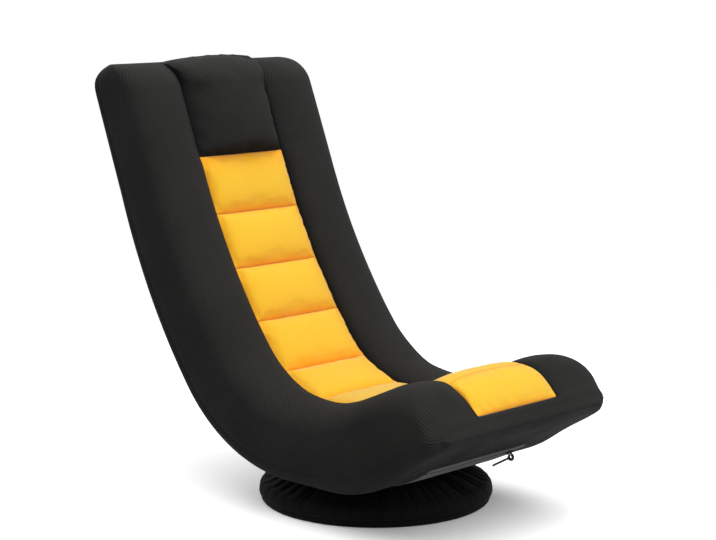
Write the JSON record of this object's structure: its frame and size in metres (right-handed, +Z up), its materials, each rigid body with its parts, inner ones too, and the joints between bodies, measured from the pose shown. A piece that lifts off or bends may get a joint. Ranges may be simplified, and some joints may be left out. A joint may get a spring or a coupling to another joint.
{
  "type": "adjustable floor chair",
  "caption": "Padded floor chair whose curved back folds on ratchet hinges at the crook, with a quilted centre strip and head pillow, on a cloth-wrapped swivel base.",
  "frame": {"origin": "middle of the base's underside, on the floor", "axes": "+Z up along the swivel axis, -Y the way the sitter faces, +X the sitter's left"},
  "size_m": [0.468, 0.8521, 0.7725],
  "materials": {
    "black_mesh": "matte black spacer mesh over foam",
    "yellow_mesh": "matte yellow spacer mesh over foam",
    "grey_cloth": "flat woven grey cloth",
    "skirt_cloth": "thin black cloth, gathered",
    "frame_paint": "black powder coat",
    "zinc_steel": "zinc plated",
    "webbing": "woven strap",
    "rubber": "matte non-slip sheet",
    "zip_metal": "dark metal and tape"
  },
  "bodies": {
    "base": {"floor_sheet": "rubber", "base_ring": "frame_paint", "base_cross": "frame_paint", "base_rim_cover": "skirt_cloth", "base_skirt": "skirt_cloth", "base_hub": "frame_paint", "bearing_lower_plate": "zinc_steel", "bearing_ball_cage": "zinc_steel", "swivel_pin": "zinc_steel"},
    "seat": {"bearing_upper_plate": "zinc_steel", "seat_tube": "frame_paint", "seat_cross_tube_front": "frame_paint", "seat_cross_tube_rear": "frame_paint", "seat_strap_1": "webbing", "seat_strap_2": "webbing", "seat_leaf_right": "zinc_steel", "seat_leaf_left": "zinc_steel", "hinge_rivet_right": "zinc_steel", "hinge_rivet_left": "zinc_steel", "seat_foam": "black_mesh", "bend_foam": "black_mesh", "bend_channel_1": "yellow_mesh", "bend_channel_2": "yellow_mesh", "seat_channel_1": "yellow_mesh", "seat_channel_2": "yellow_mesh", "seat_channel_3": "yellow_mesh", "front_channel": "yellow_mesh", "seat_panel": "grey_cloth", "zip_facing": "grey_cloth", "zip_tape": "zip_metal"},
    "pawl_right": {"pawl_right": "zinc_steel"},
    "pawl_left": {"pawl_left": "zinc_steel"},
    "zip_slider": {"zip_slider": "zip_metal"},
    "zip_pull": {"zip_pull": "zip_metal"},
    "back": {"back_tube": "frame_paint", "back_cross_tube": "frame_paint", "back_strap_1": "webbing", "back_strap_2": "webbing", "back_strap_3": "webbing", "back_leaf_right": "zinc_steel", "back_leaf_left": "zinc_steel", "back_foam": "black_mesh", "head_pillow": "black_mesh", "back_channel_1": "yellow_mesh", "back_channel_2": "yellow_mesh", "back_channel_3": "yellow_mesh", "back_panel": "grey_cloth"}
  },
  "joints": [
    {"name": "seat_swivel", "type": "hinge", "parent": "base", "child": "seat", "pos_m": [0, 0, 0.066], "axis": [0, 0, 1], "continuous": true},
    {"name": "back_fold", "type": "hinge", "parent": "seat", "child": "back", "pos_m": [0, 0.15167, 0.20571], "axis": [1, 0, 0], "range_deg": [-24, 97], "deforming": ["bend_foam", "bend_channel_1", "bend_channel_2"]},
    {"name": "pawl_lift_right", "type": "hinge", "parent": "seat", "child": "pawl_right", "pos_m": [-0.175, 0.12289, 0.17792], "axis": [1, 0, 0], "range_deg": [-20, 0], "stiffness_Nm_per_rad": 0.05},
    {"name": "pawl_lift_left", "type": "hinge", "parent": "seat", "child": "pawl_left", "pos_m": [0.175, 0.12289, 0.17792], "axis": [1, 0, 0], "range_deg": [-20, 0], "stiffness_Nm_per_rad": 0.05},
    {"name": "zip_slide", "type": "slide", "parent": "seat", "child": "zip_slider", "axis": [1, 0, 0], "range_m": [-0.196, 0.012]},
    {"name": "zip_pull_swing", "type": "hinge", "parent": "zip_slider", "child": "zip_pull", "pos_m": [0.092, -0.23442, 0.10175], "axis": [0, -0.8345, 0.551], "range_deg": [0, 90]}
  ]
}
